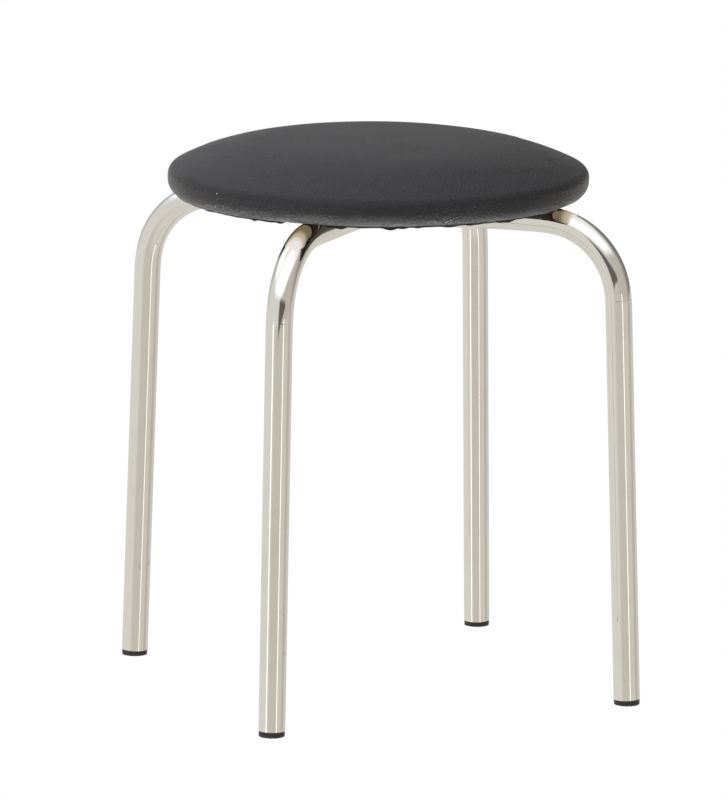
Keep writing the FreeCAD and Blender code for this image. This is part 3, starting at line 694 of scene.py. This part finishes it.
def simulateStuffing():
    profile = meridian(clothForm["startInset"], {"crown": 10, "shoulder": 10, "edge": 5, "under": 5})
    profile.append(Vector((0, profile[-1].y)))
    pad = lathe("stuffingForm", profile, clothForm["segments"], True)
    remesh = pad.modifiers.new("remesh", "REMESH")
    remesh.mode, remesh.voxel_size = "VOXEL", clothForm["voxel"]
    even = takeMesh(pad, "stuffingForm")
    pad.modifiers.clear()
    pad.data = even
    start = np.array([v.co for v in even.vertices])
    pinned = pad.vertex_groups.new(name="stapled")
    pinned.add([i for i in range(len(start)) if start[i, 2] < clothForm["pinBelow"]], 1.0, "REPLACE")
    cloth = pad.modifiers.new("cloth", "CLOTH")
    cloth.settings.use_pressure = True
    cloth.settings.uniform_pressure_force = clothForm["pressure"]
    cloth.settings.vertex_group_mass = "stapled"
    cloth.settings.quality = clothForm["quality"]
    cloth.settings.effector_weights.gravity = 0.0
    cloth.collision_settings.use_collision = False
    cloth.point_cache.frame_start, cloth.point_cache.frame_end = 1, clothForm["frames"]
    for number in range(1, clothForm["frames"] + 1):
        scene.frame_set(number)
    swollen = np.array([v.co for v in takeMesh(pad, "swollen").vertices])
    scene.frame_set(1)
    move = swollen - start
    length = np.maximum(np.linalg.norm(move, axis=1), 1e-9)
    moved = start + move * np.minimum(1.0, clothForm["cap"] / length)[:, None]
    faces = [tuple(p.vertices) for p in even.polygons]
    bpy.data.objects.remove(pad)
    print("stuffing simulated:", len(start), "points, largest move %.1f mm" % (1000 * length.max()))
    return BVHTree.FromPolygons([tuple(p) for p in moved], faces)


def settleOn(stuffing, thing):
    # the cover follows the stuffing by no more than the limit, with soft dents of its own
    limit, ahead = seatForm["settling"], 0.01
    normals = [v.normal.copy() for v in thing.data.vertices]
    found = np.zeros(len(normals))
    if stuffing is not None:
        for index, vertex in enumerate(thing.data.vertices):
            hit = stuffing.ray_cast(vertex.co + normals[index] * ahead, -normals[index], 3 * ahead)
            if hit[0] is not None:
                found[index] = ahead - hit[3]
    for index, vertex in enumerate(thing.data.vertices):
        spot = vertex.co * seatForm["dentScale"]
        soft = noise.noise(spot) * 0.5 + noise.noise(spot * 2.7) * 0.25
        shift = limit * (0.5 * tanh(found[index] / limit) + 0.8 * soft)
        fade = smoothStep((vertex.co.z - seatForm["settleFrom"]) / seatForm["settleFade"])
        vertex.co += normals[index] * (shift * fade)


def makeCover(stuffing):
    seat = seatForm
    profile = meridian(0.0, {"crown": 10, "shoulder": 18, "edge": 12, "under": 14})
    last = profile[-1]
    profile += [Vector((last.x + (seat["hemReach"] - last.x) * step / 12, last.y)) for step in range(1, 13)]
    cover = lathe("seatCover", profile, seat["segments"], False)
    settleOn(stuffing, cover)
    gathers = makeGathers()
    for vertex in cover.data.vertices:
        spot = vertex.co
        if spot.z > seat["foldsBelow"]:
            continue
        reach = hypot(spot.x, spot.y)
        angle = atan2(spot.y, spot.x) % (2 * pi)
        free = awayFromTubes(reach, angle)
        below = smoothStep((seat["foldLevel"] - spot.z) / seat["foldFade"])
        sag = seat["sagDepth"] * smoothStep(1 - abs(reach - seat["sagReach"]) / seat["sagWidth"])
        window = smoothStep(1 - abs(reach - seat["gatherReach"]) / seat["gatherWidth"])
        if reach < seat["gatherReach"]:
            window = max(window, seat["gatherInside"])
        ridge = seat["gatherDepth"] * window * gatherHeight(gathers, reach, angle)
        ripple = seat["rippleDepth"] * noise.noise(Vector((cos(angle), sin(angle), 0)) * 14.0)
        spot.z -= (sag + ridge + ripple * window) * free * below
        if reach < seat["hemReach"] + seat["hemEdge"]:  # the cut edge wanders
            wander = seat["hemWander"] * noise.noise(Vector((cos(angle), sin(angle), 0.5)) * 6.0)
            scale = (reach + wander) / reach
            spot.x *= scale
            spot.y *= scale
    slipSideways(cover)
    wall = cover.modifiers.new("wall", "SOLIDIFY")
    wall.thickness, wall.offset = seat["coverWall"], -1
    finishMesh(cover, "seatCover", seat["sharpAngle"])
    return cover


foamForm = {"inset": 0.0019, "boardReach": 0.1603, "boardTop": 0.4266, "segments": 180}


def makeFoamCore():
    # the cover's form less its thickness, with room for the board underneath
    reach, top = foamForm["boardReach"], foamForm["boardTop"]
    profile = meridian(foamForm["inset"], {"crown": 8, "shoulder": 14, "edge": 8, "under": 8})
    profile += [Vector((reach, profile[-1].y)), Vector((reach, top))]
    profile += [Vector((reach * (1 - step / 6), top)) for step in range(1, 6)]
    profile.append(Vector((0, top)))
    foam = lathe("foamPad", profile, foamForm["segments"], True)
    slipSideways(foam)
    return foam


cover = makeCover(simulateStuffing())
giveMaterial(cover, makeVinyl("blackVinyl", vinylLook["gloss"], 0.0))
# the hem under the seat is rubbed dull
cover.data.materials.append(makeVinyl("dullVinyl", vinylLook["hemGloss"], vinylLook["rubbed"]))
for face in cover.data.polygons:
    reach = hypot(face.center.x, face.center.y)
    if face.center.z < seatForm["rubbedBelow"] and reach < seatForm["rubbedWithin"]:
        face.material_index = 1
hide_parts("seat_cover")
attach(cover, "root")

foam = makeFoamCore()
giveMaterial(foam, makeFoam())
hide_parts("foam_pad")
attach(foam, "root")
print("seat made")


# Staples round the hem

stapleForm = {  # each key is the name of a socket
    "Count": 36, "Ring Radius": 0.142, "First Angle": radians(50.0), "Crown": 0.0093, "Leg Length": 0.0058,
    "Bend": 0.0006, "Wire": 0.00038, "Level": 0.41295, "Slip": 0.0012, "Skew": radians(7.0), "Seed": 3,
}


def makeStapleTree():
    tree, given, out = newShaper("hemStaples", stapleForm)
    # one staple: four points in a line, put at the corners of its wire
    bar = geoNode(tree, "GeometryNodeMeshLine", {"Count": 4})
    index = geoNode(tree, "GeometryNodeInputIndex")
    side = minus(tree, calc(tree, "GREATER_THAN", index, 1.5), 0.5)
    isEnd = calc(tree, "GREATER_THAN", calc(tree, "ABSOLUTE", minus(tree, index, 1.5)), 1.0)
    corner = combine(tree, y=times(tree, side, given["Crown"]), z=times(tree, isEnd, given["Leg Length"]))
    bent = geoNode(tree, "GeometryNodeSetPosition", {"Geometry": bar, "Position": corner})
    line = geoNode(tree, "GeometryNodeMeshToCurve", {"Mesh": bent})
    bends = geoNode(tree, "GeometryNodeFilletCurve", {"Curve": line, "Radius": given["Bend"], "Count": 3},
                    mode="POLY")
    section = geoNode(tree, "GeometryNodeCurvePrimitiveCircle", {"Resolution": 8, "Radius": given["Wire"]})
    wire = geoNode(tree, "GeometryNodeCurveToMesh", {"Curve": bends, "Profile Curve": section,
                   "Fill Caps": True})
    staple = geoNode(tree, "GeometryNodeSetShadeSmooth", {"Geometry": wire})
    # the ring of staples, each a little out of place
    ring = geoNode(tree, "GeometryNodeMeshCircle", {"Vertices": given["Count"], "Radius": given["Ring Radius"]})
    step = calc(tree, "DIVIDE", 2 * pi, given["Count"])
    bearing = calc(tree, "ADD", times(tree, index, step), given["First Angle"])
    slip = addNode(tree, "FunctionNodeRandomValue", {2: times(tree, given["Slip"], -1.0),
                   3: given["Slip"], "Seed": given["Seed"]})
    reach = calc(tree, "ADD", given["Ring Radius"], slip.outputs[1])
    spot = combine(tree, x=times(tree, calc(tree, "COSINE", bearing), reach),
                   y=times(tree, calc(tree, "SINE", bearing), reach), z=given["Level"])
    tilt = addNode(tree, "FunctionNodeRandomValue", {2: times(tree, given["Skew"], -1.0),
                   3: given["Skew"], "Seed": calc(tree, "ADD", given["Seed"], 11)})
    points = geoNode(tree, "GeometryNodeSetPosition", {"Geometry": ring, "Position": spot})
    turn = combine(tree, z=calc(tree, "ADD", bearing, tilt.outputs[1]))
    copies = geoNode(tree, "GeometryNodeInstanceOnPoints", {"Points": points, "Instance": staple,
                     "Rotation": turn})
    return endTree(tree, copies, given["Material"], out)


zinc = makeZinc()
seed = newObject("hemStaplesSeed", bpy.data.meshes.new("hemStaplesSeed"))
driveObject(seed, makeStapleTree(), stapleForm, zinc)
staples = newObject("hemStaples", takeMesh(seed, "hemStaples"))
bpy.data.objects.remove(seed)
giveMaterial(staples, zinc)
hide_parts("hem_staples")
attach(staples, "root")
print("staples made:", len(staples.data.polygons), "faces")


# Nodes that keep their shape get finished materials

plastic, plywood = makePlastic(), makePlywood()
for name, node in nodes.items():
    if name.startswith("foot_plug"):
        giveMaterial(node, plastic)
    elif name == "seat_board":
        giveMaterial(node, plywood)
    elif name.startswith(("seat_screw", "seat_washer", "insert_nut", "spacer_sleeve")):
        giveMaterial(node, zinc)
print("finishes given to the other nodes")


# Studio: pale floor, soft world light, camera at the photograph's angle

cameraForm = {
    "azimuth": -22.5, "elevation": 11.34, "roll": 0.4, "distance": 6.3505, "centre": (0.0, 0.0, 0.2149),
    "aimAside": -0.01268, "aimUp": 0.02296, "lens": 342.2,
}
roomForm = {
    "backdrop": (1.0, 1.0, 1.0, 1), "floorSize": 9.0,
    "frontFloor": (0.66, 0.63, 0.58, 1), "nearFloor": (0.78, 0.76, 0.71, 1),
    "leftFloor": (0.81, 0.795, 0.76, 1), "rightFloor": (0.73, 0.69, 0.63, 1),
    "leftWall": (0.80, 0.79, 0.77, 1), "rightWall": (0.60, 0.57, 0.53, 1), "backWall": (0.535, 0.54, 0.565, 1),
    "sideShade": (0.36, 0.33, 0.30, 1), "rearWall": (0.16, 0.145, 0.13, 1), "ceiling": (1.02, 1.02, 1.03, 1),
    "frontCeiling": (1.38, 1.38, 1.40, 1), "rearShade": 0.80, "stripeShade": 0.45,
    # where one part of the room turns into the next, in degrees to the right of the camera or above the
    # horizon; the rear's depth and side are shares of the distance
    "leftToRight": (-20.0, 20.0), "sideToBack": (105.0, 150.0), "floorFrontToSide": (26.0, 48.0),
    "floorNearToFar": (-34.0, -18.0), "floorToWall": (-5.0, -1.0), "wallToCeiling": (0.0, 14.0),
    "ceilingFrontToSide": (50.0, 90.0), "ceilingLeftToRight": (0.0, 50.0), "ceilingLevels": (20.0, 32.0),
    "rearDepth": (0.1, -0.5), "rearSide": (-0.5, 0.35), "rearTop": (30.0, 46.0), "rearSlope": 26.0,
    "stripeLeft": (74.0, 90.0), "stripeRight": (100.0, 116.0), "stripeTop": (12.0, 30.0),
}


def cameraSides():
    # level directions from the stool: to the camera's right, and towards the camera
    turn = radians(cameraForm["azimuth"])
    return Vector((cos(turn), sin(turn), 0)), Vector((sin(turn), -cos(turn), 0))


def makeWorld():
    room = roomForm
    world = bpy.data.worlds.new("paleStudio")
    world.use_nodes = True
    scene.world = world
    tree = world.node_tree
    tree.nodes.clear()
    right, ahead = cameraSides()

    def fade(value, key, *levels):
        return smoothRange(tree, value, *room[key], *levels)

    direction = addNode(tree, "ShaderNodeTexCoord").outputs["Generated"]
    forward = vectorCalc(tree, "DOT_PRODUCT", direction, tuple(ahead))
    aside = vectorCalc(tree, "DOT_PRODUCT", direction, tuple(right))
    bearing = times(tree, calc(tree, "ARCTAN2", aside, forward), 180 / pi)
    elevation = times(tree, calc(tree, "ARCSINE", heightOf(tree, direction)), 180 / pi)
    turned = calc(tree, "ABSOLUTE", bearing)
    onRight = fade(bearing, "leftToRight")

    floor = mixColour(tree, onRight, room["leftFloor"], room["rightFloor"])
    floor = mixColour(tree, fade(turned, "floorFrontToSide"), room["frontFloor"], floor)
    floor = mixColour(tree, fade(elevation, "floorNearToFar"), room["nearFloor"], floor)

    wall = mixColour(tree, onRight, room["leftWall"], room["rightWall"])
    wall = mixColour(tree, fade(turned, "sideToBack"), wall, room["backWall"])
    ceilingEdge = fade(bearing, "ceilingLeftToRight", *room["ceilingLevels"])
    overhead = fade(minus(tree, elevation, ceilingEdge), "wallToCeiling")
    ceiling = mixColour(tree, fade(turned, "ceilingFrontToSide"), room["frontCeiling"], room["ceiling"])
    upper = mixColour(tree, overhead, wall, ceiling)
    # the rear is dimmer towards the right
    rear = times(tree, fade(forward, "rearDepth"), fade(aside, "rearSide"))
    rearLevel = minus(tree, elevation, times(tree, aside, room["rearSlope"]))
    rear = times(tree, rear, fade(rearLevel, "rearTop", 1.0, 0.0))
    upper = mixColour(tree, times(tree, rear, room["rearShade"]), upper, room["rearWall"])

    colour = mixColour(tree, fade(elevation, "floorToWall"), floor, upper)
    # a darker upright stripe of the room, far to the right
    stripe = times(tree, fade(bearing, "stripeLeft"), fade(bearing, "stripeRight", 1.0, 0.0))
    low = fade(elevation, "stripeTop", room["stripeShade"], 0.0)
    colour = mixColour(tree, times(tree, stripe, low), colour, room["sideShade"])
    seen = addNode(tree, "ShaderNodeBackground", {"Color": room["backdrop"]})
    lighting = addNode(tree, "ShaderNodeBackground", {"Color": colour})
    isCamera = addNode(tree, "ShaderNodeLightPath").outputs["Is Camera Ray"]
    both = addNode(tree, "ShaderNodeMixShader", {0: isCamera, 1: lighting.outputs[0], 2: seen.outputs[0]})
    addNode(tree, "ShaderNodeOutputWorld", {"Surface": both.outputs[0]})


def addGlow(tree, colour, clearShare):
    glow = addNode(tree, "ShaderNodeEmission", {"Color": colour, "Strength": 1.0})
    clear = addNode(tree, "ShaderNodeBsdfTransparent")
    both = addNode(tree, "ShaderNodeMixShader", {0: clearShare, 1: glow.outputs[0], 2: clear.outputs[0]})
    addNode(tree, "ShaderNodeOutputMaterial", {"Surface": both.outputs[0]})


def isBehind(tree):
    return addNode(tree, "ShaderNodeNewGeometry").outputs["Backfacing"]


def makeFloor():
    size = roomForm["floorSize"]
    corners = [Vector((x, y, 0)) for x, y in ((-size, -size), (size, -size), (size, size), (-size, size))]
    floor = meshObject("paleFloor", corners, [(0, 1, 2, 3)], False)
    material, tree = blankMaterial("whitePaper")
    # clear from below, so that the underside can be looked at
    addGlow(tree, roomForm["backdrop"], isBehind(tree))
    giveMaterial(floor, material)
    floor.visible_glossy = floor.visible_diffuse = floor.visible_shadow = floor.visible_transmission = False


# colours of the painted reflection, from the shaded underside (dark) to the lit rim (warm, then pale)
cardForm = {
    "turns": (225, 315), "drops": (0.0, 0.0016), "shifts": (8.0, 13.0),
    "halfWidth": 0.034, "rimReach": 0.166, "inner": 0.158,
    "rollReach": 0.1623, "rollLevel": 0.4263, "rollRadius": 0.0142,
    "dark": (0.22, 0.175, 0.105, 1), "warm": (0.62, 0.52, 0.39, 1), "pale": (0.96, 0.91, 0.85, 1),
    "darkToWarm": (-72.0, -44.0), "warmToPale": (-44.0, -13.0),
}


def makePaintedReflectionCards():
    # painted reflection: small glowing warm cards that follow the rim's roll, seen only in the chrome of the two
    # front arms, where they paint the lit rim and the shaded underside
    form, columns = cardForm, 9
    points, faces, climbs = [], [], []
    for turn, drop, shift in zip(form["turns"], form["drops"], form["shifts"]):
        rows = [(form["inner"], form["rollLevel"] - form["rollRadius"] - drop, -100)]
        for climb in range(-90, 3, 4):
            rise = radians(climb)
            sunk = drop * max(0.0, -sin(rise)) ** 4
            rows.append((form["rollReach"] + form["rollRadius"] * cos(rise),
                         form["rollLevel"] + form["rollRadius"] * sin(rise) - sunk, climb))
        for row, (reach, level, climb) in enumerate(rows):
            base = len(points)
            for column in range(columns):
                angle = radians(turn) + form["halfWidth"] / form["rimReach"] * (column - 4) / 4
                points.append(Vector((reach * cos(angle) + seatForm["slip"][0],
                                      reach * sin(angle) + seatForm["slip"][1], level)))
                climbs.append(climb + shift)
            if row:
                faces += [(base + k, base + k - columns, base + k + 1 - columns, base + k + 1)
                          for k in range(columns - 1)]
    cards = meshObject("paintedReflectionCards", points, faces)
    cards.data.attributes.new("climb", "FLOAT", "POINT").data.foreach_set("value", climbs)
    material, tree = blankMaterial("paintedReflectionCard")
    climb = addNode(tree, "ShaderNodeAttribute", attribute_name="climb").outputs["Fac"]
    colour = mixColour(tree, smoothRange(tree, climb, *form["darkToWarm"]), form["dark"], form["warm"])
    colour = mixColour(tree, smoothRange(tree, climb, *form["warmToPale"]), colour, form["pale"])
    addGlow(tree, colour, isBehind(tree))
    giveMaterial(cards, material)
    cards.visible_camera = cards.visible_diffuse = cards.visible_shadow = cards.visible_transmission = False


# place and glow of the painted dark reflection
paintedDarkReflectionCardForm = {
    "ahead": 0.80, "left": -0.17, "right": 0.46, "low": 0.305, "lowSlope": 0.33, "top": 0.60, "topSlope": 0.15,
    "edge": 0.05, "lowEdge": 0.02, "bottom": 0.2, "summit": 0.75, "colour": (0.15, 0.135, 0.125, 1),
}


def makePaintedDarkReflectionCard():
    # painted dark reflection: a dim glowing card near the stool, in front, seen only in its gloss, darkening
    # streaks in the chrome and the seat's front roll; it is clear outside its soft slanted edges
    form = paintedDarkReflectionCardForm
    right, ahead = cameraSides()
    edge, lowEdge = form["edge"], form["lowEdge"]
    corners = [(form["left"] - edge, form["bottom"]), (form["right"] + edge, form["bottom"]),
               (form["right"] + edge, form["summit"]), (form["left"] - edge, form["summit"])]
    card = meshObject("paintedDarkReflectionCard", [right * aside + ahead * form["ahead"] + Vector((0, 0, level))
                                  for aside, level in corners], [(0, 1, 2, 3)], False)
    material, tree = blankMaterial("paintedDarkReflectionCard")
    spot = addNode(tree, "ShaderNodeTexCoord").outputs["Object"]
    aside, level = vectorCalc(tree, "DOT_PRODUCT", spot, tuple(right)), heightOf(tree, spot)
    high = calc(tree, "ADD", level, times(tree, aside, form["topSlope"]))
    low = minus(tree, level, times(tree, aside, form["lowSlope"]))
    within = times(tree, smoothRange(tree, aside, form["left"] - edge, form["left"] + edge),
                   smoothRange(tree, aside, form["right"] - edge, form["right"] + edge, 1.0, 0.0))
    upright = times(tree, smoothRange(tree, low, form["low"] - lowEdge, form["low"] + lowEdge),
                    smoothRange(tree, high, form["top"] - edge, form["top"] + edge, 1.0, 0.0))
    addGlow(tree, form["colour"], minus(tree, 1.0, times(tree, within, upright)))
    giveMaterial(card, material)
    card.visible_camera = card.visible_diffuse = card.visible_shadow = card.visible_transmission = False


lampForm = {
    "key": {"power": 10.0, "size": 2.2, "place": (-2.4, 1.8, 3.4), "aim": (0.0, 0.0, 0.35)},
    "strips": {"right": (1.45, -2.13), "left": (-1.66, -1.53), "width": 0.30, "height": 1.9, "level": -0.62,
               "radiance": 0.80},
    "fill": {"depth": 0.9, "aside": -0.4, "size": 2.5, "radiance": 2.0},
}


def makeLamp(name, place, aim, size, power):
    light = bpy.data.lights.new(name, "AREA")
    light.shape, light.size, light.size_y = "RECTANGLE", size[0], size[1]
    light.energy = power
    lamp = newObject(name, light)
    lamp.location = place
    lamp.rotation_mode = "QUATERNION"
    lamp.rotation_quaternion = (Vector(aim) - lamp.location).to_track_quat("-Z", "Y")
    lamp.visible_camera = False
    return lamp


def lightOnly(lamp, thing):
    lit = bpy.data.collections.new(lamp.name + "Reach")
    lit.objects.link(thing)
    lamp.light_linking.receiver_collection = lit


def makeLights():
    key, strips, fill = lampForm["key"], lampForm["strips"], lampForm["fill"]
    makeLamp("softKey", key["place"], key["aim"], (key["size"], key["size"]), key["power"])
    # two tall strip lights beside the camera, seen as thin bright lines along the legs
    right, ahead = cameraSides()
    level, size = Vector((0, 0, strips["level"])), (strips["width"], strips["height"])
    power = strips["radiance"] * pi * (size[0] * size[1])
    for side in ("right", "left"):
        aside, behind = strips[side]
        lamp = makeLamp(side + "Strip", right * aside - ahead * behind + level, level, size, power)
        if side == "left":
            lightOnly(lamp, tubes["upper_frame_tube"])
    # light thrown up by the paper, kept to the vinyl
    place = right * fill["aside"] + Vector((0, 0, -fill["depth"]))
    lamp = makeLamp("lowFill", place, place + Vector((0, 0, 1)), (fill["size"], fill["size"]),
                    fill["radiance"] * pi * fill["size"] * fill["size"])
    lightOnly(lamp, cover)
    lamp.data.use_shadow = False
    lamp.data.cycles.use_multiple_importance_sampling = False


def makeCamera():
    turn, rise, roll = (radians(cameraForm[key]) for key in ("azimuth", "elevation", "roll"))
    ahead = Vector((-sin(turn) * cos(rise), cos(turn) * cos(rise), -sin(rise)))
    right = Vector((cos(turn), sin(turn), 0))
    up = right.cross(ahead)
    across = right * cos(roll) + up * sin(roll)
    above = up * cos(roll) - right * sin(roll)
    centre = Vector(cameraForm["centre"])
    place = centre - ahead * cameraForm["distance"]
    aim = centre + across * cameraForm["aimAside"] + above * cameraForm["aimUp"]
    back = (place - aim).normalized()
    across = above.cross(back).normalized()
    above = back.cross(across)
    data = bpy.data.cameras.new("photoCamera")
    data.lens, data.sensor_width, data.sensor_fit = cameraForm["lens"], 36.0, "AUTO"
    data.clip_start, data.clip_end = 0.1, 60.0
    camera = newObject("photoCamera", data)
    camera.matrix_world = Matrix.Translation(place) @ Matrix((across, above, back)).transposed().to_4x4()
    scene.camera = camera


makeWorld()
makeFloor()
makePaintedReflectionCards()
makePaintedDarkReflectionCard()
makeLights()
makeCamera()
scene.view_settings.view_transform = "Standard"
scene.view_settings.look = "None"
print("studio made")
